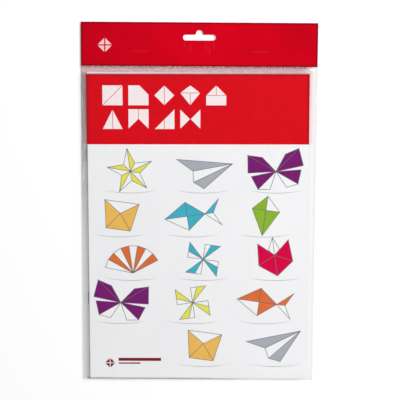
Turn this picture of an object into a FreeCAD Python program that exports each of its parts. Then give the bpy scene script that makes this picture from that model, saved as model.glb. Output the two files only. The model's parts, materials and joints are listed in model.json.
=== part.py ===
import FreeCAD, Part
import math
import os

from FreeCAD import Vector

# A paper folding kit in its shop bag, lying on its back: X to the right, Y up the page, Z out of the cover.
# The origin is under the middle of the pack, on the surface it lies on. Sizes are in millimetres.

# Booklet: A4, folded on its left edge and stitched through the fold with two wire staples
page_width = 210.0
page_height = 297.0
cover_card = 0.25
leaf = 0.11
leaf_layers = 20
booklet_turn = 0.34
booklet_shift = -0.4

# Wire staples
wire = 0.5
crown = 12.5
clinch = 4.5
wire_bend = 0.45
stitch_from_foot = 80.0
stitch_from_head = 77.0
stitch_ease = 0.03

# Loose folding paper behind the booklet, one small stack for each colour
sheet = 0.12
sheets_of_a_colour = 2
sheet_trim = 0.6
sheet_play = 0.3
paper_colours = ("yellow", "gold", "orange", "crimson", "purple", "teal", "green", "grey")

# Clear film bag, folded at the foot and welded up both sides
film = 0.08
side_margin = 6.5
weld = 2.0
foot_margin = 2.3
edge_ease = 0.1
lid_ease = 0.06

# Header card, creased over the mouth of the bag and glued to it
header_inset = 0.5
header_height = 41.4
header_card = 0.35
header_gap = 6.85
mouth_below_fold = 1.5

# Glue pads between the header card and the film
glue = 0.08
glue_length = 19.0
glue_width = 4.0
glue_spacing = 113.0
glue_drop = 27.5

# Hang slot, a long bar with a round hump, punched through card and film
slot_width = 30.7
slot_bar = 5.5
slot_drop = 14.3
hump_radius = 3.2
hump_rise = 4.3
hump_flare = 1.4
punch_run_out = 1.0

# Print on the cover and header, in flat fields one ink layer thick
ink = 0.04
band_height = 66.9
crease_line = 0.5
title_left = 15.0
title_drop = 10.4
title_size = 19.4
title_pitch_x = 24.4
title_pitch_y = 22.6
picture_size = 53.0
picture_tilt = 8.0
field_side = 36.0
field_top = 26.0
field_foot = 33.0
row_stagger = 5.0
ground_line = 0.7
ground_sag = 2.6
ground_rise = 8.5
badge_size = 10.0
badge_from_edge = 20.2
badge_from_foot = 15.6
bar_length = 41.0
bar_height = 3.0
small_bar_length = 21.0
small_bar_height = 1.3
bar_gap = 1.6
header_badge_size = 14.0
header_badge_side = 22.8
header_badge_drop = 21.7

# Worked out from the sizes above
pages = leaf * leaf_layers
booklet_thickness = pages + 2 * cover_card
turn = math.radians(booklet_turn)
reach_x = (page_width * math.cos(turn) + page_height * math.sin(turn)) / 2
reach_y = (page_height * math.cos(turn) + page_width * math.sin(turn)) / 2
bag_width = page_width + 2 * side_margin
pack_length = foot_margin + page_height + header_gap + header_height
pack_foot = -pack_length / 2
pack_head = pack_length / 2
header_foot = pack_head - header_height
booklet_y = pack_foot + foot_margin + page_height / 2

stack_low = film
booklet_low = stack_low + sheet * sheets_of_a_colour * len(paper_colours)
cover_top = booklet_low + booklet_thickness
bag_top = cover_top + 2 * ink + lid_ease + film
tongue_low = header_card + glue
tongue_high = tongue_low + 2 * film
header_top = tongue_high + glue + header_card
header_fold_radius = header_top / 2
header_fold_y = pack_head - header_fold_radius
mouth_y = header_fold_y - mouth_below_fold


def prism(points, along):
    """A straight-edged outline, drawn in its own plane, pushed along a vector."""
    return Part.Face(Part.makePolygon(points + points[:1])).extrude(along)


def across(outline, half_width):
    """A prism along X over the full width given, from an outline of (y, z)."""
    points = [Vector(-half_width, y, z) for y, z in outline]
    return prism(points, Vector(2 * half_width, 0, 0))


def lengthwise(outline, low, high):
    """A prism along Y between two places, from an outline of (x, z)."""
    points = [Vector(x, low, z) for x, z in outline]
    return prism(points, Vector(0, high - low, 0))


def plate(outline, z, thickness):
    """A flat piece on the height z, from an outline of (x, y)."""
    points = [Vector(x, y, z) for x, y in outline]
    return prism(points, Vector(0, 0, thickness))


def rectangle(left, right, low, high):
    return [(left, low), (right, low), (right, high), (left, high)]


def folded(radius, reach, width):
    """All that lies inside a fold: half a round about the Y axis, then flat sides that run along +X."""
    low = Vector(0, -width / 2, -radius)
    high = Vector(0, -width / 2, radius)
    out = Vector(reach, 0, 0)
    edges = [
        Part.LineSegment(low + out, low).toShape(),
        Part.Arc(low, Vector(-radius, -width / 2, 0), high).toShape(),
        Part.LineSegment(high, high + out).toShape(),
        Part.LineSegment(high + out, low + out).toShape(),
    ]
    return Part.Face(Part.Wire(edges)).extrude(Vector(0, width, 0))


def on_booklet(shape):
    """Moves a shape drawn about the booklet's middle to where the booklet lies, a little crooked."""
    shape.rotate(Vector(0, 0, 0), Vector(0, 0, 1), booklet_turn)
    shape.translate(Vector(booklet_shift, booklet_y, 0))
    return shape


# The booklet: a cover folded round its pages, and two staples through the fold
def booklet_fold(radius):
    centre_x = -page_width / 2 + booklet_thickness / 2
    slab = folded(radius, page_width / 2 - centre_x, page_height)
    slab.translate(Vector(centre_x, 0, booklet_low + booklet_thickness / 2))
    return slab


def wire_loop(y, ease, bend):
    """A staple's square wire, or with some ease the room for it in the paper, as one loop with a gap in it.

    The crown lies against the outside of the fold, and the legs are clinched in the middle of the pages.
    """
    fold = -page_width / 2
    inside = fold + booklet_thickness / 2
    half = crown / 2
    around = wire / 2 + ease
    tip = half - clinch - ease
    height = booklet_low + booklet_thickness / 2 - around
    outer = rectangle(fold - wire - ease, inside + wire + ease, y - half - around, y + half + around)
    loop = plate(outer, height, 2 * around)
    if bend:
        upright = [edge for edge in loop.Edges if edge.BoundBox.ZLength > around]
        loop = loop.makeFillet(bend, upright)
    held = rectangle(fold + ease, inside - ease, y - half + around, y + half - around)
    gap = rectangle(inside - ease, inside + wire + ease, y - tip, y + tip)
    return loop.cut(plate(held, height, 2 * around)).cut(plate(gap, height, 2 * around))


def staple(y):
    return wire_loop(y, 0, wire_bend)


def staple_room(y):
    return wire_loop(y, stitch_ease, 0)


staple_places = {
    "staple_upper": page_height / 2 - stitch_from_head,
    "staple_lower": -page_height / 2 + stitch_from_foot,
}


def booklet_cover():
    cover = booklet_fold(booklet_thickness / 2).cut(booklet_fold(pages / 2))
    for y in staple_places.values():
        cover = cover.cut(staple_room(y))
    return cover


def booklet_pages():
    block = booklet_fold(pages / 2)
    for y in staple_places.values():
        block = block.cut(staple_room(y))
    return block


def paper_stack(index):
    """The sheets of one colour, which lie a little out of line with their neighbours."""
    thickness = sheet * sheets_of_a_colour
    dx = sheet_play * (index * 5 % 3 - 1)
    dy = sheet_play * (index * 2 % 3 - 1)
    half_x = (page_width - sheet_trim) / 2
    half_y = (page_height - sheet_trim) / 2
    outline = rectangle(dx - half_x, dx + half_x, dy - half_y, dy + half_y)
    lowest = stack_low + thickness * (len(paper_colours) - 1 - index)
    return plate(outline, lowest, thickness)


# The hang slot's punch
def slot_punch():
    bar_top = pack_head - slot_drop + slot_bar / 2
    bar_foot = bar_top - slot_bar
    bar_middle = pack_head - slot_drop
    end_x = (slot_width - slot_bar) / 2
    hump_y = bar_top + hump_rise - hump_radius
    reach = hump_radius + hump_flare
    flare_y = bar_top + hump_flare
    flare_x = math.sqrt(reach ** 2 - (flare_y - hump_y) ** 2)
    meet_x = flare_x * hump_radius / reach
    meet_y = hump_y + (flare_y - hump_y) * hump_radius / reach
    bisector = Vector(meet_x - flare_x, meet_y - flare_y - hump_flare, 0).normalize() * hump_flare
    flare_mid_x = flare_x + bisector.x
    flare_mid_y = flare_y + bisector.y
    start = -punch_run_out

    def at(x, y):
        return Vector(x, y, start)

    edges = [
        Part.LineSegment(at(-end_x, bar_foot), at(end_x, bar_foot)).toShape(),
        Part.Arc(at(end_x, bar_foot), at(slot_width / 2, bar_middle), at(end_x, bar_top)).toShape(),
        Part.LineSegment(at(end_x, bar_top), at(flare_x, bar_top)).toShape(),
        Part.Arc(at(flare_x, bar_top), at(flare_mid_x, flare_mid_y), at(meet_x, meet_y)).toShape(),
        Part.Arc(at(meet_x, meet_y), at(0, hump_y + hump_radius), at(-meet_x, meet_y)).toShape(),
        Part.Arc(at(-meet_x, meet_y), at(-flare_mid_x, flare_mid_y), at(-flare_x, bar_top)).toShape(),
        Part.LineSegment(at(-flare_x, bar_top), at(-end_x, bar_top)).toShape(),
        Part.Arc(at(-end_x, bar_top), at(-slot_width / 2, bar_middle), at(-end_x, bar_foot)).toShape(),
    ]
    return Part.Face(Part.Wire(edges)).extrude(Vector(0, 0, header_top + 2 * punch_run_out))


# The bag: flat on its back, drawn up over the booklet's edges, and down to a flat tongue in the header
def bag():
    half = bag_width / 2
    skirt = half - weld
    room = sheet_play + edge_ease
    left = booklet_shift - reach_x - room
    right = booklet_shift + reach_x + room
    low = booklet_y - reach_y - room
    high = booklet_y + reach_y + room
    seam = 2 * film

    band = [(pack_foot, 0), (high, 0), (header_foot, tongue_low), (mouth_y, tongue_low),
            (mouth_y, tongue_high), (header_foot, tongue_high), (high, seam), (pack_foot, seam)]
    side_view = [(pack_foot, 0), (high, 0), (header_foot, tongue_low), (header_foot, tongue_high),
                 (high, bag_top), (low, bag_top), (pack_foot, seam)]
    end_view = [(-skirt, 0), (skirt, 0), (skirt, seam), (right, bag_top), (left, bag_top), (-skirt, seam)]
    pillow = across(side_view, half).common(lengthwise(end_view, pack_foot, header_foot))
    outside = across(band, half).fuse(pillow).removeSplitter()

    hollow_side = inset_outline(side_view, film)
    hollow_end = inset_outline(end_view, film)
    hollow = across(hollow_side, half).common(lengthwise(hollow_end, pack_foot, header_foot))
    return outside.cut(hollow).cut(slot_punch())


def inset_outline(outline, distance):
    """The same outline with every side moved inwards by one distance; short sides that vanish are dropped."""
    face = Part.Face(Part.makePolygon([Vector(u, v, 0) for u, v in outline + outline[:1]]))
    inner = face.makeOffset2D(-distance, 2)
    return [(vertex.X, vertex.Y) for vertex in inner.OuterWire.OrderedVertexes]


# The header card and the glue that holds it
def header_card_shape():
    reach = header_fold_y - header_foot
    width = bag_width - 2 * header_inset
    card = folded(header_fold_radius, reach, width)
    card = card.cut(folded(header_fold_radius - header_card, reach, width))
    card.rotate(Vector(0, 0, 0), Vector(0, 0, 1), -90)
    card.translate(Vector(0, header_fold_y, header_fold_radius))
    return card.cut(slot_punch())


def glue_pads():
    middle = pack_head - glue_drop
    pads = []
    for side in (-1, 1):
        centre = side * glue_spacing / 2
        outline = rectangle(centre - glue_length / 2, centre + glue_length / 2,
                            middle - glue_width / 2, middle + glue_width / 2)
        pads.append(plate(outline, header_card, glue))
        pads.append(plate(outline, tongue_high, glue))
    return Part.makeCompound(pads)


# Folded paper figures for the cover. A figure is a list of facets, each coloured or bare, in half widths
def mirrored(facets):
    return [(tone, [(-x, y) for x, y in reversed(outline)]) for tone, outline in facets]


def turned(outline, degrees):
    c = math.cos(math.radians(degrees))
    s = math.sin(math.radians(degrees))
    return [(c * x - s * y, s * x + c * y) for x, y in outline]


def fish():
    return [
        ("ink", [(-1, 0), (-0.2, 0), (-0.2, 0.52)]),
        ("bare", [(-1, 0), (-0.2, -0.52), (-0.2, 0)]),
        ("ink", [(-0.2, 0), (0.45, 0), (-0.2, 0.52)]),
        ("ink", [(-0.2, -0.52), (0.45, 0), (-0.2, 0)]),
        ("ink", [(0.45, 0), (0.75, 0), (1, 0.48)]),
        ("bare", [(0.45, 0), (1, -0.48), (0.75, 0)]),
    ]


def pinwheel():
    blade = [("ink", [(0, 0), (0.56, 0.56), (0.22, 0.56)]), ("bare", [(0, 0), (0.22, 0.56), (0, 0.56)])]
    return [(tone, turned(outline, quarter * 90)) for quarter in range(4) for tone, outline in blade]


def butterfly():
    wing = [
        ("ink", [(0, 0), (1, 0.08), (0.92, 0.72)]),
        ("ink", [(0, 0), (0.92, 0.72), (0.42, 0.58)]),
        ("ink", [(0, 0), (0.72, -0.56), (0.9, -0.06)]),
        ("bare", [(0, 0), (0.3, -0.62), (0.72, -0.56)]),
    ]
    return wing + mirrored(wing)


def tulip():
    petals = [
        ("ink", [(-0.56, 0.66), (-0.62, -0.15), (0, 0.16)]),
        ("ink", [(-0.62, -0.15), (0, -0.62), (0, 0.16)]),
        ("bare", [(-0.2, 0.36), (0, 0.16), (0, 0.82)]),
    ]
    return petals + mirrored(petals)


def dart():
    return [
        ("ink", [(1, 0.42), (-1, 0.3), (-0.36, -0.04)]),
        ("bare", [(1, 0.42), (-0.36, -0.04), (-0.28, -0.44)]),
        ("ink", [(1, 0.42), (-0.28, -0.44), (0.12, -0.62)]),
    ]


def fan():
    pleat_count = 8
    rays = [math.radians(20 + 140 * ray / pleat_count) for ray in range(pleat_count + 1)]
    rim = [(1.02 * math.cos(ray), 1.02 * math.sin(ray) - 0.52) for ray in rays]
    return [(("ink", "bare")[n % 2], [(0, -0.52), rim[n], rim[n + 1]]) for n in range(pleat_count)]


def kite():
    return [
        ("ink", [(-0.5, 0.2), (0, 0.2), (0, 0.72)]),
        ("bare", [(0, 0.2), (0.5, 0.2), (0, 0.72)]),
        ("ink", [(-0.5, 0.2), (0, -0.74), (0, 0.2)]),
        ("ink", [(0, -0.74), (0.5, 0.2), (0, 0.2)]),
    ]


def cup():
    return [
        ("bare", [(-0.62, 0.5), (0, 0.08), (0.62, 0.5)]),
        ("ink", [(-0.62, 0.5), (-0.44, -0.52), (0, 0.08)]),
        ("ink", [(0.62, 0.5), (0, 0.08), (0.44, -0.52)]),
        ("ink", [(-0.44, -0.52), (0.44, -0.52), (0, 0.08)]),
    ]


def star():
    tip_count = 5
    long, short = 0.84, 0.34
    facets = []
    for tip in range(tip_count):
        middle = math.radians(90 + 360 * tip / tip_count)
        step = math.pi / tip_count
        point = (long * math.cos(middle), long * math.sin(middle))
        before = (short * math.cos(middle - step), short * math.sin(middle - step))
        after = (short * math.cos(middle + step), short * math.sin(middle + step))
        facets.append(("ink", [(0, 0), before, point]))
        facets.append(("bare", [(0, 0), point, after]))
    return facets


# The rows of figures down the cover, from the head, with the colour that each is printed in
picture_rows = [
    [(star, "yellow"), (dart, "grey"), (butterfly, "purple")],
    [(cup, "gold"), (fish, "teal"), (kite, "green")],
    [(fan, "orange"), (pinwheel, "teal"), (tulip, "crimson")],
    [(butterfly, "purple"), (pinwheel, "yellow"), (fish, "orange")],
    [None, (cup, "gold"), (dart, "grey")],
]


def picture_places():
    """Every figure with its colour, its middle on the booklet and its tilt."""
    field_head = page_height / 2 - band_height - field_top
    row_pitch = (field_head + page_height / 2 - field_foot) / (len(picture_rows) - 1)
    column_pitch = page_width / 2 - field_side
    places = []
    for row, figures in enumerate(picture_rows):
        sway = row_stagger * (-1) ** row
        for column, figure in enumerate(figures):
            if figure:
                middle = (column_pitch * (column - 1) + sway, field_head - row_pitch * row)
                tilt = picture_tilt * (-1) ** (row + column)
                places.append((figure[0](), figure[1], middle, tilt))
    return places


def placed(outline, size, middle, tilt):
    """An outline in half widths brought to its size, tilt and place."""
    scaled = [(x * size / 2, y * size / 2) for x, y in outline]
    return [(x + middle[0], y + middle[1]) for x, y in turned(scaled, tilt)]


def face_of(outline):
    return Part.Face(Part.makePolygon([Vector(x, y, 0) for x, y in outline + outline[:1]]))


def facet_plate(outline, layer):
    """One printed facet, drawn in by half a crease line so that the line shows round it."""
    face = face_of(outline).makeOffset2D(-crease_line / 2, 2)
    return raised(face, layer)


def raised(face, layer):
    solid = face.extrude(Vector(0, 0, ink))
    solid.translate(Vector(0, 0, cover_top + ink * layer))
    return solid


def joined(faces):
    return faces[0].multiFuse(faces[1:]).removeSplitter()


def figure_outlines():
    """The crease lines: each figure's whole shape, half a line larger, under its facets."""
    figures = []
    for facets, colour, middle, tilt in picture_places():
        faces = [face_of(placed(outline, picture_size, middle, tilt)) for tone, outline in facets]
        parts = joined(faces).Faces
        grown = [part.makeOffset2D(crease_line / 2, 2) for part in parts]
        figures += [raised(face, 0) for face in joined(grown).Faces]
    return Part.makeCompound(figures)


def print_facets(colour_wanted, tone_wanted):
    plates = []
    for facets, colour, middle, tilt in picture_places():
        for tone, outline in facets:
            if tone == tone_wanted and colour_wanted in (colour, "any"):
                plates.append(facet_plate(placed(outline, picture_size, middle, tilt), 1))
    return Part.makeCompound(plates)


def ground_lines(figures):
    """A thin crescent under each figure, as if it stood on something, broken where a figure covers it."""
    strokes = []
    for facets, colour, middle, tilt in picture_places():
        half = picture_size / 2
        level = middle[1] - half + ground_rise
        left = Vector(middle[0] - half, level, 0)
        right = Vector(middle[0] + half, level, 0)
        low = Vector(middle[0], level - ground_sag, 0)
        lower = low - Vector(0, ground_line, 0)
        edges = [Part.Arc(left, low, right).toShape(), Part.Arc(right, lower, left).toShape()]
        strokes.append(raised(Part.Face(Part.Wire(edges)), 0))
    return Part.makeCompound(strokes).cut(figures)


def print_band():
    """The coloured head of the cover, from the start of the fold's round to the open edge."""
    left = -page_width / 2 + booklet_thickness / 2
    head = page_height / 2
    return plate(rectangle(left, page_width / 2, head - band_height, head), cover_top, ink)


# Folding steps in place of a title, each a square of paper part folded, in whole squares
def title_steps():
    square = [[(0, 0), (1, 0), (1, 1)], [(0, 0), (1, 1), (0, 1)]]
    corner = [[(0, 0), (1, 0), (1, 0.55), (0.55, 1), (0, 1)]]
    tent = [[(0, 0), (0.5, 0), (0.5, 1)], [(0.5, 0), (1, 0), (0.5, 1)]]
    house = [[(0, 0), (1, 0), (1, 0.5), (0, 0.5)], [(0, 0.5), (0.5, 0.5), (0.5, 1)],
             [(0.5, 0.5), (1, 0.5), (0.5, 1)]]
    diamond = [[(0, 0.5), (0.5, 0), (0.5, 1)], [(0.5, 0), (1, 0.5), (0.5, 1)]]
    slope = [[(0, 0), (0.5, 0), (0.5, 0.5)], [(0.5, 0), (1, 0), (1, 1), (0.5, 0.5)]]
    bow = [[(0, 0), (0.5, 0.5), (0, 1)], [(0.5, 0.5), (1, 0), (1, 1)]]
    kite_step = [[(0.5, 0), (1, 0.62), (0.5, 0.62)], [(0, 0.62), (0.5, 0), (0.5, 0.62)],
                 [(0, 0.62), (1, 0.62), (0.5, 1)]]
    gate = [[(0, 0), (0.5, 0.5), (0.5, 1), (0, 1)], [(0.5, 0.5), (1, 0), (1, 1), (0.5, 1)]]
    return [[square, corner, diamond, kite_step, house], [tent, gate, slope, bow]]


def print_title_steps():
    plates = []
    for row, steps in enumerate(title_steps()):
        foot = page_height / 2 - title_drop - title_size - title_pitch_y * row
        for column, facets in enumerate(steps):
            left = -page_width / 2 + title_left + title_pitch_x * column
            for outline in facets:
                corners = [(left + x * title_size, foot + y * title_size) for x, y in outline]
                plates.append(facet_plate(corners, 1))
    return Part.makeCompound(plates)


def badge(size, middle):
    """A plain badge: a square of paper on its corner, with its two diagonal creases left open."""
    quarter = [(0.08, 0.08), (0.92, 0.08), (0.08, 0.92)]
    return [placed(turned(quarter, turn_degrees), size, middle, 0) for turn_degrees in (0, 90, 180, 270)]


def print_badge():
    centre = (-page_width / 2 + badge_from_edge, -page_height / 2 + badge_from_foot)
    left = centre[0] + badge_size / 2 + 2 * bar_gap
    high = centre[1] + badge_size / 2
    low = centre[1] + badge_size / 2 - bar_height - bar_gap
    plates = [plate(outline, cover_top, ink) for outline in badge(badge_size, centre)]
    plates.append(plate(rectangle(left, left + bar_length, high - bar_height, high), cover_top, ink))
    plates.append(plate(rectangle(left, left + small_bar_length, low - small_bar_height, low), cover_top, ink))
    return Part.makeCompound(plates)


def header_badge():
    middle = (-bag_width / 2 + header_badge_side, pack_head - header_badge_drop)
    return Part.makeCompound([plate(outline, header_top, ink) for outline in badge(header_badge_size, middle)])


def save(name, shape):
    shape.exportStep("parts/" + name + ".step")
    print(name, len(shape.Solids), "solids", round(shape.Volume, 3), "valid", shape.isValid())


os.makedirs("parts", exist_ok=True)

save("header_card", header_card_shape())
save("header_badge", header_badge())
save("glue_pads", glue_pads())
save("bag", bag())
save("booklet_cover", on_booklet(booklet_cover()))
save("booklet_pages", on_booklet(booklet_pages()))
for name, y in staple_places.items():
    save(name, on_booklet(staple(y)))
for index, colour in enumerate(paper_colours):
    save("sheets_" + colour, on_booklet(paper_stack(index)))
save("print_band", on_booklet(print_band()))
save("print_title_steps", on_booklet(print_title_steps()))
outlines = figure_outlines()
save("print_ground_lines", on_booklet(ground_lines(outlines)))
save("print_outlines", on_booklet(outlines))
save("print_bare_facets", on_booklet(print_facets("any", "bare")))
for colour in paper_colours:
    save("print_" + colour, on_booklet(print_facets(colour, "ink")))
save("print_badge", on_booklet(print_badge()))
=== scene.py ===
import json
import math

import bmesh
import bpy
from mathutils import Matrix, Vector, noise


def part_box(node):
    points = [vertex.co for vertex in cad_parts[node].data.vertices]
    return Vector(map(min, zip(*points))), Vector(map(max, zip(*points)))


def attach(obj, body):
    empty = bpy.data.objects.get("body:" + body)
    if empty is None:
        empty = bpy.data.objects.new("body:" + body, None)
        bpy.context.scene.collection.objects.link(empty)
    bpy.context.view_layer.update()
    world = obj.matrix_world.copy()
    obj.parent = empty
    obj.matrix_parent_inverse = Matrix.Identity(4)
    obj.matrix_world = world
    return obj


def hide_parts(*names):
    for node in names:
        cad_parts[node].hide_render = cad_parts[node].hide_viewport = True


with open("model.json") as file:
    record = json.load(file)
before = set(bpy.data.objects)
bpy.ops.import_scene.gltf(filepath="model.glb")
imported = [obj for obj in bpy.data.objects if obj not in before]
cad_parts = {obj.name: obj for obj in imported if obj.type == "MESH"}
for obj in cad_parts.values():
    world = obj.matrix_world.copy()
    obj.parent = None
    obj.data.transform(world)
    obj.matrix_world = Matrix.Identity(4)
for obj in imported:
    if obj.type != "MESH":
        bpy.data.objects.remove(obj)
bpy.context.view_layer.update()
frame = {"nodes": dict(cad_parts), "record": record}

# The camera
# The pack lies on its back, and the camera hangs over it on a long lens, a little to the header's side.
# The roll and yaw are what is left of a camera set up by eye.
mm = 0.001
camera_aim = Vector((1.45, 4.03, 0)) * mm
camera_distance = 1905 * mm
camera_tilt = 11.8
camera_roll = -0.35
camera_yaw = -0.28
lens_length = 180
sensor_width = 36


def turned(degrees, axis):
    """A turn about one axis."""
    return Matrix.Rotation(math.radians(degrees), 4, axis)


camera_data = bpy.data.cameras.new("camera")
camera_data.lens = lens_length
camera_data.sensor_width = sensor_width
camera = bpy.data.objects.new("camera", camera_data)
camera_turn = (turned(camera_roll, "Z") @ turned(camera_tilt, "X") @ turned(camera_yaw, "Y")).transposed()
camera_back = Matrix.Translation((0, 0, camera_distance))
camera.matrix_world = Matrix.Translation(camera_aim) @ camera_turn @ camera_back
bpy.context.scene.collection.objects.link(camera)
bpy.context.scene.camera = camera
bpy.context.scene.view_settings.view_transform = "Standard"


# The studio
# A white sweep in a dim room, brighter round its walls than overhead, so that no gloss greys the reds. The
# strong soft box stands to the pack's right, a little towards the header, and a weak one to its left.
floor_drop = 0.3 * mm
floor_reach = 3.0
floor_lift = 0.38
wall_glow = 0.34
ceiling_glow = 0.02
walls_end = 0.15
ceiling_starts = 0.85


def linear(code, alpha=1.0):
    """A colour written as sRGB hex, in the linear values that the shaders work with."""
    parts = [int(code[i:i + 2], 16) / 255 for i in (0, 2, 4)]
    return [p / 12.92 if p <= 0.04045 else ((p + 0.055) / 1.055) ** 2.4 for p in parts] + [alpha]


def add_node(tree, kind, inputs=None, **settings):
    """One node with its settings. An input is a value, or another node's output, which is linked to it."""
    made = tree.nodes.new(kind)
    for name, value in settings.items():
        setattr(made, name, value)
    for key, value in (inputs or {}).items():
        if isinstance(value, bpy.types.NodeSocket):
            tree.links.new(value, made.inputs[key])
        else:
            made.inputs[key].default_value = value
    return made


def new_material(name):
    """An empty material and its node tree."""
    material = bpy.data.materials.new(name)
    material.use_nodes = True
    material.node_tree.nodes.clear()
    return material, material.node_tree


def white_sweep():
    """Matt paper that shows pure white to the eye, to gloss and through film, and still takes a shadow."""
    material, tree = new_material("white_sweep")
    path = add_node(tree, "ShaderNodeLightPath").outputs
    seen = path["Is Camera Ray"]
    for ray in ("Is Glossy Ray", "Is Transmission Ray"):
        seen = add_node(tree, "ShaderNodeMath", {0: seen, 1: path[ray]}, operation="MAXIMUM").outputs[0]
    lift = add_node(tree, "ShaderNodeMath", {0: seen, 1: floor_lift}, operation="MULTIPLY")
    paper = add_node(tree, "ShaderNodeBsdfDiffuse", {"Color": linear("D2D2D2")})
    glow = add_node(tree, "ShaderNodeEmission", {"Color": linear("FFFFFF"), "Strength": lift.outputs[0]})
    both = add_node(tree, "ShaderNodeAddShader", {0: paper.outputs[0], 1: glow.outputs[0]})
    add_node(tree, "ShaderNodeOutputMaterial", {"Surface": both.outputs[0]})
    return material


def shown(bm, name, material=None):
    """Turns a bmesh into an object of that name in the scene."""
    mesh = bpy.data.meshes.new(name)
    bm.to_mesh(mesh)
    bm.free()
    if material:
        mesh.materials.append(material)
    made = bpy.data.objects.new(name, mesh)
    bpy.context.scene.collection.objects.link(made)
    return made


floor_bm = bmesh.new()
bmesh.ops.create_grid(floor_bm, x_segments=1, y_segments=1, size=floor_reach)
bmesh.ops.translate(floor_bm, verts=floor_bm.verts, vec=(0, 0, -floor_drop))
floor = shown(floor_bm, "floor", white_sweep())


def soft_box(name, place, size, power):
    """A square soft box that faces the pack."""
    lamp = bpy.data.lights.new(name, "AREA")
    lamp.shape = "SQUARE"
    lamp.size = size
    lamp.energy = power
    holder = bpy.data.objects.new(name, lamp)
    facing = Vector(place).to_track_quat("Z", "Y").to_matrix().to_4x4()
    holder.matrix_world = Matrix.Translation(place) @ facing
    bpy.context.scene.collection.objects.link(holder)


soft_box("key_box", place=(2.0, 0.7, 2.0), size=1.5, power=107)
soft_box("fill_box", place=(-1.6, 0.5, 2.2), size=1.6, power=12)


def dim_room():
    """A room that is white to the eye, and lights the pack from its walls more than from overhead."""
    room = bpy.data.worlds.new("room")
    room.use_nodes = True
    tree = room.node_tree
    tree.nodes.clear()
    path = add_node(tree, "ShaderNodeLightPath")
    way = add_node(tree, "ShaderNodeTexCoord").outputs["Generated"]
    up = add_node(tree, "ShaderNodeSeparateXYZ", {"Vector": way}).outputs["Z"]
    glow = add_node(tree, "ShaderNodeMapRange",
                    {"Value": up, "From Min": walls_end, "From Max": ceiling_starts,
                     "To Min": wall_glow, "To Max": ceiling_glow}, clamp=True)
    dim = add_node(tree, "ShaderNodeBackground", {"Color": linear("FAFAFF"), "Strength": glow.outputs[0]})
    seen = add_node(tree, "ShaderNodeBackground", {"Color": linear("FFFFFF"), "Strength": 1.0})
    mix = add_node(tree, "ShaderNodeMixShader",
                   {0: path.outputs["Is Camera Ray"], 1: dim.outputs[0], 2: seen.outputs[0]})
    add_node(tree, "ShaderNodeOutputWorld", {"Surface": mix.outputs[0]})
    return room


bpy.context.scene.world = dim_room()


# The booklet's pages
# Twenty leaves of uncoated book paper, folded in half and cut flush with the cover. On the cut sides the edge
# shows as fine layers, drawn four leaves thick, because one leaf is finer than the picture can show.
leaf_band = 0.44 * mm
wave_spacing = 2 * math.pi / 20


def book_paper():
    """Uncoated wood-free paper: matt, with layered cut edges."""
    material, tree = new_material("book_paper")
    place = add_node(tree, "ShaderNodeTexCoord").outputs["Object"]
    # At a scale of one, the bands of a wave texture lie wave_spacing apart.
    layers = add_node(tree, "ShaderNodeTexWave",
                      {"Vector": place, "Scale": wave_spacing / leaf_band, "Distortion": 1.2, "Detail": 1.0,
                       "Detail Scale": 0.4}, wave_type="BANDS", bands_direction="Z")
    shade = add_node(tree, "ShaderNodeMix", {"Factor": layers.outputs["Fac"], "A": linear("DAD7CF"),
                                             "B": linear("F1EFEA")}, data_type="RGBA")
    shade_in = add_node(tree, "ShaderNodeBump", {"Height": layers.outputs["Fac"], "Strength": 0.35,
                                                 "Distance": 0.05 * mm})
    surface = add_node(tree, "ShaderNodeBsdfPrincipled",
                       {"Base Color": shade.outputs["Result"], "Roughness": 0.85,
                        "Normal": shade_in.outputs[0]})
    add_node(tree, "ShaderNodeOutputMaterial", {"Surface": surface.outputs[0]})
    return material


def dress(node_name, material):
    """Gives a CAD node its finish."""
    slots = frame["nodes"][node_name].data.materials
    slots.clear()
    slots.append(material)


dress("booklet_pages", book_paper())


# The booklet's cover
# One sheet of coated art card, printed and folded round the pages. The red head of the front runs on over the
# fold and round the back, so the card itself carries it there, and the front's flat part is ink of its own.
booklet_turn = 0.34
page_width = 210 * mm
page_height = 297 * mm
band_height = 66.9 * mm
band_foot = page_height / 2 - band_height
ink_edge = 0.05 * mm
fold_x = 0.6 * mm - page_width / 2
flat_x = 1.2 * mm - page_width / 2
cover_low, cover_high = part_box("booklet_cover")
booklet_middle = (cover_low + cover_high) / 2


def within(tree, *limits):
    """One inside all the limits, and nought outside.

    A limit is a coordinate, its value where the blend starts and its value where the blend is full.
    """
    inside = 1.0
    for axis, start, full in limits:
        passed = add_node(tree, "ShaderNodeMapRange", {"Value": axis, "From Min": start, "From Max": full},
                          interpolation_type="SMOOTHSTEP", clamp=True).outputs["Result"]
        inside = add_node(tree, "ShaderNodeMath", {0: passed, 1: inside}, operation="MULTIPLY").outputs[0]
    return inside


def unevenness(tree, place, grain, low, high):
    """The slow, faint unevenness of a printed or coated sheet, as a number between two values."""
    cloud = add_node(tree, "ShaderNodeTexNoise", {"Vector": place, "Scale": 1 / grain, "Detail": 3.0,
                                                  "Roughness": 0.55})
    made = add_node(tree, "ShaderNodeMapRange",
                    {"Value": cloud.outputs["Fac"], "From Min": 0.3, "From Max": 0.7,
                     "To Min": low, "To Max": high}, clamp=True)
    return made.outputs["Result"]


def mottled(tree, place, code, grain, low, high):
    """A colour with such unevenness in it, as a press or a coater lays it down."""
    uneven = unevenness(tree, place, grain, low, high)
    made = add_node(tree, "ShaderNodeVectorMath", {0: linear(code)[:3], 1: uneven}, operation="MULTIPLY")
    return made.outputs[0]


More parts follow.
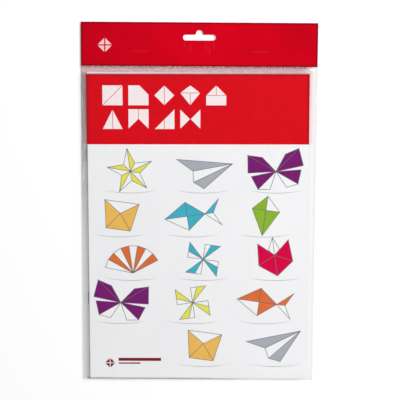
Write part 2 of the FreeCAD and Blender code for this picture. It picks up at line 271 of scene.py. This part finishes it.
def crease_streaked_shade(tree, place, grain_x, grain_y, low, high):
    """Streaks laid out like fine creases, with their own grain along each axis, as a number between two
    values for painted shade.
    """
    drawn = add_node(tree, "ShaderNodeMapping", {"Vector": place, "Scale": (1 / grain_x, 1 / grain_y, 1)})
    cloud = add_node(tree, "ShaderNodeTexNoise", {"Vector": drawn.outputs[0], "Scale": 1.0})
    made = add_node(tree, "ShaderNodeMapRange",
                    {"Value": cloud.outputs["Fac"], "From Min": 0.35, "From Max": 0.65,
                     "To Min": low, "To Max": high}, clamp=True)
    return made.outputs["Result"]


def booklet_axes(tree, place):
    """X and Y about the booklet's middle, along its own edges."""
    centred = add_node(tree, "ShaderNodeMapping", {"Vector": place, "Location": -booklet_middle},
                       vector_type="POINT")
    straight = add_node(tree, "ShaderNodeMapping", {"Vector": centred.outputs[0],
                                                    "Rotation": (0, 0, math.radians(-booklet_turn))})
    return add_node(tree, "ShaderNodeSeparateXYZ", {"Vector": straight.outputs[0]}).outputs


def coated_card():
    """Silk coated art card: white and softly shining, with painted shade greying it along the spine's fold.
    """
    material, tree = new_material("coated_card")
    place = add_node(tree, "ShaderNodeTexCoord").outputs["Object"]
    axes = booklet_axes(tree, place)
    in_band = within(tree, (axes["Y"], band_foot - ink_edge, band_foot + ink_edge))
    fold_shade_mask = within(tree, (axes["X"], flat_x, fold_x))
    white = mottled(tree, place, "FAFAFA", 55 * mm, 0.985, 1.01)
    red = mottled(tree, place, "DE081A", 40 * mm, 0.94, 1.04)
    printed = add_node(tree, "ShaderNodeMix", {"Factor": in_band, "A": white, "B": red}, data_type="RGBA")
    # Painted shade: the card is darkened in streaks along the spine's rounded fold, the side facing away from
    # the key light.
    paint = add_node(tree, "ShaderNodeMix", {"Factor": fold_shade_mask, "A": printed.outputs["Result"],
                                             "B": crease_streaked_shade(tree, place, 5 * mm, 30 * mm, 0.62, 0.85)},
                     data_type="RGBA", blend_type="MULTIPLY")
    swell = add_node(tree, "ShaderNodeTexNoise", {"Vector": place, "Scale": 1 / (70 * mm), "Detail": 1.0})
    sheet_roll = add_node(tree, "ShaderNodeBump", {"Height": swell.outputs["Fac"], "Strength": 0.5,
                                                   "Distance": 0.6 * mm})
    surface = add_node(tree, "ShaderNodeBsdfPrincipled", {"Base Color": paint.outputs["Result"],
                                                          "Roughness": 0.3, "Specular IOR Level": 0.2,
                                                          "Normal": sheet_roll.outputs[0]})
    add_node(tree, "ShaderNodeOutputMaterial", {"Surface": surface.outputs[0]})
    return material


dress("booklet_cover", coated_card())


# The two staples
# Galvanised stitching wire, driven through the fold from outside and clinched in the middle of the pages. The
# zinc is dull and a little uneven.
def galvanised_wire():
    """Zinc-coated steel wire: a grey metal, duller in one spot than in the next."""
    material, tree = new_material("galvanised_wire")
    place = add_node(tree, "ShaderNodeTexCoord").outputs["Object"]
    dulled = unevenness(tree, place, 0.5 * mm, 0.3, 0.5)
    surface = add_node(tree, "ShaderNodeBsdfPrincipled", {"Base Color": linear("B4B6B9"), "Metallic": 1.0,
                                                          "Roughness": dulled})
    add_node(tree, "ShaderNodeOutputMaterial", {"Surface": surface.outputs[0]})
    return material


wire_finish = galvanised_wire()
for staple in ("staple_upper", "staple_lower"):
    dress(staple, wire_finish)


# The loose folding paper
# Two A4 sheets of each colour, dyed right through and drawn as one, lie in a stack behind the booklet. Their
# edges show through the film from the side, a little out of line, and the last sheet lies against its back.
folding_colours = {
    "yellow": "E3DA50",
    "gold": "DDB466",
    "orange": "E47753",
    "crimson": "C8124B",
    "purple": "702966",
    "teal": "33A1B2",
    "green": "95B543",
    "grey": "AEB2B7",
}


def dyed_paper(name, code):
    """Dyed folding paper: matt and even, with a fine fibre tooth."""
    material, tree = new_material(name + "_folding_paper")
    place = add_node(tree, "ShaderNodeTexCoord").outputs["Object"]
    tint = mottled(tree, place, code, 6 * mm, 0.96, 1.03)
    fibre = add_node(tree, "ShaderNodeTexNoise", {"Vector": place, "Scale": 1 / (0.8 * mm), "Detail": 4.0})
    tooth = add_node(tree, "ShaderNodeBump", {"Height": fibre.outputs["Fac"], "Strength": 0.25,
                                              "Distance": 0.05 * mm})
    surface = add_node(tree, "ShaderNodeBsdfPrincipled",
                       {"Base Color": tint, "Roughness": 0.8, "Specular IOR Level": 0.3,
                        "Normal": tooth.outputs[0]})
    add_node(tree, "ShaderNodeOutputMaterial", {"Surface": surface.outputs[0]})
    return material


for name, code in folding_colours.items():
    dress("sheets_" + name, dyed_paper(name, code))


# The print on the cover
# Offset ink in flat colours over the coated card: a red head with white folding steps, folded figures with
# thin crease lines, pale ground lines and a small badge. Ink dries a little uneven and less glossy than the
# card, on which the eight colours come out cleaner than in the dyed paper.
printed_colours = {
    "yellow": "EEEA5D",
    "gold": "F3C160",
    "orange": "E4763B",
    "crimson": "DF0048",
    "purple": "7F1E74",
    "teal": "46B8CB",
    "green": "93BD35",
    "grey": "B2B6BD",
}
band_half_width = page_width / 2 - 0.7 * mm
band_rim_shade_reach = 2.2 * mm
band_rim_shade_kept = 0.6


def rim_shaded(tree, colour, axes, half_width, low, high, reach, kept):
    """A field's colour, darkened to the kept share along its two sides, its foot and its head: painted shade
    along the rims.
    """
    across = add_node(tree, "ShaderNodeMath", {0: axes["X"]}, operation="ABSOLUTE").outputs[0]
    inside = within(tree, (across, half_width, half_width - reach), (axes["Y"], low, low + reach),
                    (axes["Y"], high, high - reach))
    share_kept = add_node(tree, "ShaderNodeMapRange", {"Value": inside, "To Min": kept, "To Max": 1.0})
    made = add_node(tree, "ShaderNodeVectorMath", {0: colour, 1: share_kept.outputs["Result"]},
                    operation="MULTIPLY")
    return made.outputs[0]


def offset_ink(name, code, low=0.95, high=1.03, rim_shade=False):
    """A printed colour: the card's sheen, dulled, with the press's faint unevenness in the film of ink, and
    when asked, painted shade along its rims.
    """
    material, tree = new_material(name)
    place = add_node(tree, "ShaderNodeTexCoord").outputs["Object"]
    tint = mottled(tree, place, code, 9 * mm, low, high)
    if rim_shade:
        tint = rim_shaded(tree, tint, booklet_axes(tree, place), band_half_width, -page_height / 2,
                      page_height / 2, band_rim_shade_reach, band_rim_shade_kept)
    surface = add_node(tree, "ShaderNodeBsdfPrincipled", {"Base Color": tint, "Roughness": 0.28,
                                                          "Specular IOR Level": 0.15})
    add_node(tree, "ShaderNodeOutputMaterial", {"Surface": surface.outputs[0]})
    return material


for name, code in printed_colours.items():
    dress("print_" + name, offset_ink(name + "_ink", code))

# The red head is darkened along its rims by painted shade.
dress("print_band", offset_ink("red_ink", "E0081A", 0.96, 1.03, rim_shade=True))
dress("print_title_steps", offset_ink("rosy_bare_card", "FFF1F1", 0.99, 1.01))
dress("print_bare_facets", offset_ink("bare_card", "FAFAFA", 0.99, 1.01))
dress("print_outlines", offset_ink("line_ink", "6A6A70"))
dress("print_ground_lines", offset_ink("pale_grey_ink", "C6C8CC"))
dress("print_badge", offset_ink("dark_red_ink", "84202C"))


# The film bag
# Clear cast polypropylene, welded up both sides and folded at the foot. It is drawn tight over the booklet,
# falls to a flat weld at each side, and crumples up into the header card. What it lets through carries
# painted shade beside the spine and along the foot, painted shade with the crumples' own grey in the gap
# under the header card, and a painted red reflection beside the booklet's red head and in the gap.
film = 0.08 * mm
weld = 2 * mm
cling_height = 4.86 * mm
turn_over = 0.4 * mm
slot_bar = 5.5 * mm
slot_drop = 14.3 * mm
hump_radius = 3.2 * mm
hump_rise = 4.3 * mm
slot_length = frame["record"]["mounts"][1]["dims"]["slot_length_mm"] * mm

bag_low, bag_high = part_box("bag")
card_low, card_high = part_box("header_card")
seam_height = 2 * film
tongue_low = (card_low.z + card_high.z) / 2 - film
tongue_high = tongue_low + 2 * film
weld_x = bag_high.x - weld
lean = math.tan(math.radians(booklet_turn))
head_y = booklet_middle.y + page_height / 2
foot_y = booklet_middle.y - page_height / 2
spine_x = booklet_middle.x - page_width / 2

side_fall, foot_fall, head_fall = 1.1, 1.2, 1.1
gap_rolls, gap_roll, gap_crumple = 2.1, 0.3 * mm, 0.45 * mm
side_rolls, side_roll, side_crumple = 1.2, 0.16 * mm, 0.2 * mm
tight_swell = 0.035 * mm

weld_crimp = 0.9 * mm
film_pass = (0.965, 0.965, 0.97, 1)
red_reflection_pass = (1.0, 0.7, 0.72, 1)
red_reflection_reach = 5.5 * mm
red_reflection_share_right = 0.35
spine_shade_starts = -60 * mm
foot_shade_ends = 55 * mm
foot_shade_warmth = (1.0, 0.985, 0.965)
gap_red_reflection = (1.0, 0.87, 0.88)
pleat_shadow_reach = 3.2 * mm


def booklet_sides(y):
    """Where the booklet's left and right edges are at that height; the booklet lies a little crooked."""
    middle = booklet_middle.x - (y - booklet_middle.y) * lean
    return middle - page_width / 2, middle + page_width / 2


def booklet_ends(x):
    """Where the booklet's foot and head are at that place across the pack."""
    middle = booklet_middle.y + (x - booklet_middle.x) * lean
    return middle - page_height / 2, middle + page_height / 2


def share(value, start, end):
    """How far a value is from start to end, as nought to one."""
    return min(1.0, max(0.0, (value - start) / (end - start)))


def wander(x, y, grain_x, grain_y, seed):
    """Smooth noise from -1 to 1, with its own grain along each axis."""
    return noise.noise(Vector((x / grain_x, y / grain_y, seed)))


def front_height(x, y):
    """The height of the bag's front sheet: tight on the booklet, and down to the welds, foot and tongue.

    Long rolls and short crumples cross the slack film in the gap under the header and beside the booklet.
    """
    left, right = booklet_sides(y)
    foot, head = booklet_ends(x)
    out_side = max(share(-x, -left + turn_over, weld_x), share(x, right + turn_over, weld_x))
    out_foot = share(-y, -foot + turn_over, -bag_low.y)
    out_head = share(y, head + turn_over, card_low.y)
    base = seam_height + (tongue_high - seam_height) * out_head
    held = (1 - out_side) ** side_fall * (1 - out_foot) ** foot_fall * (1 - out_head) ** head_fall
    height = base + (cling_height - base) * held

    roll = math.sin(2 * math.pi * (gap_rolls * out_head + 0.35 * wander(x, y, 26 * mm, 9 * mm, 3)))
    crumple = wander(x, y, 4.5 * mm, 1.7 * mm, 7)
    gap = math.sin(math.pi * out_head) ** 0.8 * (1 - out_side) * (gap_roll * roll + gap_crumple * crumple)

    roll = math.sin(2 * math.pi * (side_rolls * out_side + 0.6 * wander(x, y, 30 * mm, 38 * mm, 11)))
    crumple = wander(x, y, 2.2 * mm, 9 * mm, 17)
    beside = 1 - max(out_foot, out_head)
    side = math.sin(math.pi * out_side) * beside * (side_roll * roll + side_crumple * crumple)

    tight = wander(x, y, 38 * mm, 60 * mm, 23) + 0.4 * wander(x, y, 9 * mm, 16 * mm, 29)
    return height + gap + side + tight_swell * tight * held


def back_height(y):
    """The height of the bag's back sheet, which lies flat and then rises to the tongue."""
    return tongue_low * share(y, head_y + turn_over, card_low.y)


def grid_lines(stops):
    """Places along an axis, from stops given as (place, spacing up to the next stop)."""
    places = []
    for (start, spacing), (end, _) in zip(stops, stops[1:]):
        count = max(1, round((end - start) / spacing))
        places += [start + (end - start) * step / count for step in range(count)]
    return places + [stops[-1][0]]


def pillow():
    """The bag's outer skin: two sheets with the same net, bridged round their edges.

    The net is fine where the film crumples, beside the booklet and in the gap, and wide where it lies flat.
    """
    side_x = page_width / 2 - 2 * mm
    columns = grid_lines([(bag_low.x, weld / 4), (-weld_x, 0.45 * mm), (-side_x, 1.9 * mm),
                          (side_x, 0.45 * mm), (weld_x, weld / 4), (bag_high.x, 0)])
    rows = grid_lines([(bag_low.y, 0.25 * mm), (foot_y + 2 * mm, 2.4 * mm), (head_y - 2.5 * mm, 0.3 * mm),
                       (card_low.y + 0.6 * mm, 3 * mm), (bag_high.y, 0)])
    bm = bmesh.new()
    across, along = len(columns) - 1, len(rows) - 1
    bmesh.ops.create_grid(bm, x_segments=across, y_segments=along, size=1)
    for vert in bm.verts:
        vert.co.x = columns[round((vert.co.x + 1) / 2 * across)]
        vert.co.y = rows[round((vert.co.y + 1) / 2 * along)]
    back = bmesh.ops.duplicate(bm, geom=bm.verts[:] + bm.edges[:] + bm.faces[:])["geom"]
    back_verts = {item for item in back if isinstance(item, bmesh.types.BMVert)}
    back_faces = [item for item in back if isinstance(item, bmesh.types.BMFace)]
    for vert in bm.verts:
        vert.co.z = back_height(vert.co.y) if vert in back_verts else front_height(vert.co.x, vert.co.y)
    bmesh.ops.reverse_faces(bm, faces=back_faces)
    for face in bm.faces:
        face.smooth = True
    rims = [edge for edge in bm.edges if edge.is_boundary]
    bmesh.ops.bridge_loops(bm, edges=rims)
    for edge in rims:
        edge.smooth = False
    bmesh.ops.recalc_face_normals(bm, faces=bm.faces)
    return bm


def slot_punches():
    """The punch for the hang slot, as a bar with round ends and a round for its hump."""
    middle = card_high.y - slot_drop
    half = (slot_length - slot_bar) / 2
    bar = bmesh.new()
    bmesh.ops.create_cone(bar, cap_ends=True, segments=32, radius1=slot_bar / 2, radius2=slot_bar / 2,
                          depth=weld)
    for vert in bar.verts:
        vert.co.x += half if vert.co.x > 0 else -half
    bmesh.ops.translate(bar, verts=bar.verts, vec=(0, middle, 0))
    hump = bmesh.new()
    bmesh.ops.create_cone(hump, cap_ends=True, segments=40, radius1=hump_radius, radius2=hump_radius,
                          depth=weld)
    hump_y = middle + slot_bar / 2 + hump_rise - hump_radius
    bmesh.ops.translate(hump, verts=hump.verts, vec=(0, hump_y, 0))
    return [shown(bar, "slot_bar_punch"), shown(hump, "slot_hump_punch")]


def punched(piece, punches):
    """Cuts the punches through a piece, keeps the result as its mesh and throws the punches away."""
    for punch in punches:
        cut = piece.modifiers.new("punch", "BOOLEAN")
        cut.operation = "DIFFERENCE"
        cut.solver = "EXACT"
        cut.object = punch
    graph = bpy.context.evaluated_depsgraph_get()
    finished = bpy.data.meshes.new_from_object(piece.evaluated_get(graph))
    piece.modifiers.clear()
    piece.data = finished
    for punch in punches:
        bpy.data.objects.remove(punch)


def film_relief(tree, place, in_weld):
    """The film's draw ripples, and the crimp that the sealing bars leave in its welds."""
    crimp = add_node(tree, "ShaderNodeTexWave", {"Vector": place, "Scale": wave_spacing / weld_crimp},
                     wave_type="BANDS", bands_direction="DIAGONAL")
    drawn = add_node(tree, "ShaderNodeMapping", {"Vector": place, "Scale": (1 / (7 * mm), 1 / (22 * mm), 1)})
    ripple = add_node(tree, "ShaderNodeTexNoise", {"Vector": drawn.outputs[0], "Scale": 1.0, "Detail": 2.0})
    relief = add_node(tree, "ShaderNodeMix", {"Factor": in_weld, "A": ripple.outputs["Fac"],
                                              "B": crimp.outputs["Fac"]}, data_type="FLOAT")
    made = add_node(tree, "ShaderNodeBump", {"Height": relief.outputs["Result"], "Strength": 0.3,
                                             "Distance": 0.12 * mm})
    return made.outputs[0]


def painted_red_reflection(tree, place):
    """How much painted red reflection the film carries beside the booklet's red head, most on the shaded left
    side.
    """
    axes = booklet_axes(tree, place)
    across = add_node(tree, "ShaderNodeMath", {0: axes["X"]}, operation="ABSOLUTE").outputs[0]
    edge = page_width / 2
    beside = within(tree, (across, edge - 0.3 * mm, edge + 0.1 * mm), (across, edge + red_reflection_reach, edge),
                    (axes["Y"], band_foot - 1 * mm, band_foot + 1 * mm))
    by_side = add_node(tree, "ShaderNodeMapRange", {"Value": axes["X"], "From Min": -edge, "From Max": edge,
                                                    "To Min": 1.0, "To Max": red_reflection_share_right})
    made = add_node(tree, "ShaderNodeMath", {0: beside, 1: by_side.outputs["Result"]}, operation="MULTIPLY")
    return made.outputs[0]


def film_tint(tree, place, axes):
    """What the film lets through: nearly all, less where painted shade lies, and redder where a red
    reflection is painted.
    """
    by_spine = within(tree, (axes["X"], spine_x + 0.5 * mm, spine_x - 1.5 * mm),
                      (axes["Y"], spine_shade_starts, head_y))
    by_foot = within(tree, (axes["Y"], foot_y + 1.3 * mm, foot_y + 0.2 * mm),
                     (axes["X"], foot_shade_ends, 0), (axes["X"], spine_x - 2 * mm, spine_x))
    in_gap = within(tree, (axes["Y"], head_y + 0.2 * mm, head_y + 1.5 * mm),
                    (axes["X"], 3 * mm - spine_x, -9 * mm - spine_x))
    in_pleat_shadow = within(tree, (axes["Y"], card_low.y - pleat_shadow_reach, card_low.y - 0.6 * mm))
    spine_painted_shade = crease_streaked_shade(tree, place, 1.4 * mm, 20 * mm, 0.68, 0.9)
    foot_painted_shade = add_node(tree, "ShaderNodeVectorMath",
                         {0: crease_streaked_shade(tree, place, 12 * mm, 2 * mm, 0.72, 0.8), 1: foot_shade_warmth},
                         operation="MULTIPLY")
    gap_painted_shade = add_node(tree, "ShaderNodeMix",
                        {"Factor": in_pleat_shadow, "A": crease_streaked_shade(tree, place, 6 * mm, 1.1 * mm, 0.83, 0.93),
                         "B": crease_streaked_shade(tree, place, 1.5 * mm, 0.7 * mm, 0.48, 1.0)}, data_type="RGBA")
    gap_shade_and_red_reflection = add_node(tree, "ShaderNodeVectorMath", {0: gap_painted_shade.outputs["Result"], 1: gap_red_reflection},
                        operation="MULTIPLY")
    # Painted shade beside the spine, along the foot and in the gap, and a painted red reflection beside the
    # red head.
    tint = add_node(tree, "ShaderNodeMix", {"Factor": by_spine, "A": film_pass, "B": spine_painted_shade},
                    data_type="RGBA").outputs["Result"]
    tint = add_node(tree, "ShaderNodeMix", {"Factor": painted_red_reflection(tree, place), "A": tint, "B": red_reflection_pass},
                    data_type="RGBA", blend_type="MULTIPLY").outputs["Result"]
    for where, grey in ((by_foot, foot_painted_shade), (in_gap, gap_shade_and_red_reflection)):
        tint = add_node(tree, "ShaderNodeMix", {"Factor": where, "A": tint, "B": grey.outputs[0]},
                        data_type="RGBA").outputs["Result"]
    return tint


def clear_film():
    """Clear polypropylene: thin gloss over what lies behind it, milky along its welds, with painted shade in
    its tint.
    """
    material, tree = new_material("clear_film")
    place = add_node(tree, "ShaderNodeTexCoord").outputs["Object"]
    axes = add_node(tree, "ShaderNodeSeparateXYZ", {"Vector": place}).outputs
    across = add_node(tree, "ShaderNodeMath", {0: axes["X"]}, operation="ABSOLUTE").outputs[0]
    in_weld = within(tree, (across, weld_x - 0.3 * mm, weld_x + 0.3 * mm))
    wrinkle = film_relief(tree, place, in_weld)
    clear = add_node(tree, "ShaderNodeBsdfTransparent", {"Color": film_tint(tree, place, axes)})
    milk = add_node(tree, "ShaderNodeBsdfDiffuse", {"Color": linear("F4F4F6")})
    haze = add_node(tree, "ShaderNodeMapRange", {"Value": in_weld, "To Min": 0.003, "To Max": 0.04})
    body = add_node(tree, "ShaderNodeMixShader", {0: haze.outputs[0], 1: clear.outputs[0],
                                                  2: milk.outputs[0]})
    gloss = add_node(tree, "ShaderNodeBsdfGlossy", {"Color": linear("FFFFFF"), "Roughness": 0.07,
                                                    "Normal": wrinkle})
    facing = add_node(tree, "ShaderNodeLayerWeight", {"Blend": 0.5, "Normal": wrinkle})
    graze = add_node(tree, "ShaderNodeMath", {0: facing.outputs["Facing"], 1: 5.0}, operation="POWER")
    mirror = add_node(tree, "ShaderNodeMapRange", {"Value": graze.outputs[0], "To Min": 0.04, "To Max": 1.0})
    surface = add_node(tree, "ShaderNodeMixShader", {0: mirror.outputs[0], 1: body.outputs[0],
                                                     2: gloss.outputs[0]})
    add_node(tree, "ShaderNodeOutputMaterial", {"Surface": surface.outputs[0]})
    return material


film_bag = shown(pillow(), "film_bag", clear_film())
punched(film_bag, slot_punches())
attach(film_bag, "root")
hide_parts("bag")


# The glue pads
# Four short beads of clear hot-melt glue, pressed flat, hold the header card to both sides of the film.
def hot_melt():
    """Hot-melt glue: a clear resin that sets a little cloudy."""
    material, tree = new_material("hot_melt")
    place = add_node(tree, "ShaderNodeTexCoord").outputs["Object"]
    cloud = mottled(tree, place, "EDEBE2", 2 * mm, 0.9, 1.0)
    surface = add_node(tree, "ShaderNodeBsdfPrincipled", {"Base Color": cloud, "Roughness": 0.3})
    add_node(tree, "ShaderNodeOutputMaterial", {"Surface": surface.outputs[0]})
    return material


dress("glue_pads", hot_melt())


# The header card
# One strip of coated card, printed red all over, creased over the bag's mouth and punched with the hang slot.
# The glue shows through as faint dents, with a painted highlight over each, and painted highlights streak the
# card below the slot. Painted shade darkens the red along the edges, painted light makes it brighter in the
# middle than at the ends, and the cut edges are bare board.
dent_places = (-56.5 * mm, 56.5 * mm)
dent_y = card_high.y - 27.5 * mm
dent_reach = (10 * mm, 2.2 * mm)
dent_highlight_reach = (11 * mm, 1.6 * mm)
dent_highlight = 0.05
# The middle of each streak, across and along the pack, and half its length, in mm.
streaks = ((-14, 153, 3.5), (-8.5, 149, 6), (6.5, 150, 7), (9.5, 147, 5), (13.5, 152, 4.5))
streak_half_width = 0.7 * mm
streak_highlight = 0.1
patch_core = 0.3
# Painted shade darkens the header's red along its edges.
edge_shade_reach = 2.4 * mm
edge_shade_kept = 0.4
crease_y = card_high.y - 1 * mm
upright_limit = 0.2
painted_light_middle = 1.09
painted_light_side = 0.93


def soft_patch(tree, axes, middle_x, middle_y, reach_x, reach_y):
    """One inside an upright oval patch, fading to nought at its rim."""
    away = 0.0
    for axis, middle, reach in ((axes["X"], middle_x, reach_x), (axes["Y"], middle_y, reach_y)):
        off = add_node(tree, "ShaderNodeMath", {0: axis, 1: middle}, operation="SUBTRACT").outputs[0]
        part = add_node(tree, "ShaderNodeMath", {0: off, 1: reach}, operation="DIVIDE").outputs[0]
        away = add_node(tree, "ShaderNodeMath", {0: part, 1: part, 2: away},
                        operation="MULTIPLY_ADD").outputs[0]
    return within(tree, (away, 1.0, patch_core))


def header_painted_highlights(tree, axes):
    """How much painted highlight lightens the red, in streaks below the slot and in patches over the glue
    dents.
    """
    lit = 0.0
    for x, y, reach in streaks:
        glint = soft_patch(tree, axes, x * mm, y * mm, streak_half_width, reach * mm)
        lit = add_node(tree, "ShaderNodeMath", {0: glint, 1: streak_highlight, 2: lit},
                        operation="MULTIPLY_ADD").outputs[0]
    for x in dent_places:
        glint = soft_patch(tree, axes, x, dent_y, *dent_highlight_reach)
        lit = add_node(tree, "ShaderNodeMath", {0: glint, 1: dent_highlight, 2: lit},
                        operation="MULTIPLY_ADD").outputs[0]
    return lit


def on_cut_edge(tree, axes, facing):
    """One on the card's cut edges, which stand upright and lie below the crease."""
    tilt = add_node(tree, "ShaderNodeMath", {0: facing["Z"]}, operation="ABSOLUTE").outputs[0]
    upright = add_node(tree, "ShaderNodeMath", {0: tilt, 1: upright_limit}, operation="LESS_THAN").outputs[0]
    below = add_node(tree, "ShaderNodeMath", {0: axes["Y"], 1: crease_y}, operation="LESS_THAN").outputs[0]
    return add_node(tree, "ShaderNodeMath", {0: upright, 1: below}, operation="MULTIPLY").outputs[0]


def header_relief(tree, place, axes):
    """The glue's dents, on a card that isn't quite flat."""
    left, right = [soft_patch(tree, axes, x, dent_y, *dent_reach) for x in dent_places]
    dents = add_node(tree, "ShaderNodeMath", {0: left, 1: right}, operation="ADD")
    swell = add_node(tree, "ShaderNodeTexNoise", {"Vector": place, "Scale": 1 / (45 * mm), "Detail": 1.0})
    rise = add_node(tree, "ShaderNodeMath", {0: swell.outputs["Fac"], 1: 3.0, 2: dents.outputs[0]},
                    operation="MULTIPLY_ADD")
    made = add_node(tree, "ShaderNodeBump", {"Height": rise.outputs[0], "Strength": 0.6,
                                             "Distance": 0.12 * mm})
    return made.outputs[0]


def printed_header_card():
    """Solid red offset ink under a satin varnish on white board, with painted light, shade and highlights on
    it.
    """
    material, tree = new_material("printed_header_card")
    coords = add_node(tree, "ShaderNodeTexCoord").outputs
    place = coords["Object"]
    axes = add_node(tree, "ShaderNodeSeparateXYZ", {"Vector": place}).outputs
    facing = add_node(tree, "ShaderNodeSeparateXYZ", {"Vector": coords["Normal"]}).outputs
    across = add_node(tree, "ShaderNodeMath", {0: axes["X"]}, operation="ABSOLUTE").outputs[0]
    # Painted light: the red is brighter in the middle and dimmer towards the ends.
    painted_light_falloff = add_node(tree, "ShaderNodeMapRange",
                        {"Value": across, "From Max": card_high.x, "To Min": painted_light_middle,
                         "To Max": painted_light_side}, interpolation_type="SMOOTHSTEP")
    red = add_node(tree, "ShaderNodeVectorMath", {0: mottled(tree, place, "CC021B", 30 * mm, 0.9, 1.06),
                                                  1: painted_light_falloff.outputs["Result"]}, operation="MULTIPLY")
    red = rim_shaded(tree, red.outputs[0], axes, card_high.x, card_low.y, card_high.y, edge_shade_reach,
                 edge_shade_kept)
    # Painted highlights lighten the red in the streaks below the slot and over the dents.
    highlighted = add_node(tree, "ShaderNodeMix", {"Factor": header_painted_highlights(tree, axes), "A": red,
                                              "B": linear("F0504A")}, data_type="RGBA")
    paint = add_node(tree, "ShaderNodeMix", {"Factor": on_cut_edge(tree, axes, facing),
                                             "A": highlighted.outputs["Result"], "B": linear("D8B9B4")},
                     data_type="RGBA")
    surface = add_node(tree, "ShaderNodeBsdfPrincipled", {"Base Color": paint.outputs["Result"],
                                                          "Roughness": 0.25, "Specular IOR Level": 0.15,
                                                          "Normal": header_relief(tree, place, axes)})
    add_node(tree, "ShaderNodeOutputMaterial", {"Surface": surface.outputs[0]})
    return material


dress("header_card", printed_header_card())
dress("header_badge", offset_ink("header_badge_ink", "F9C6C8", 0.98, 1.01))
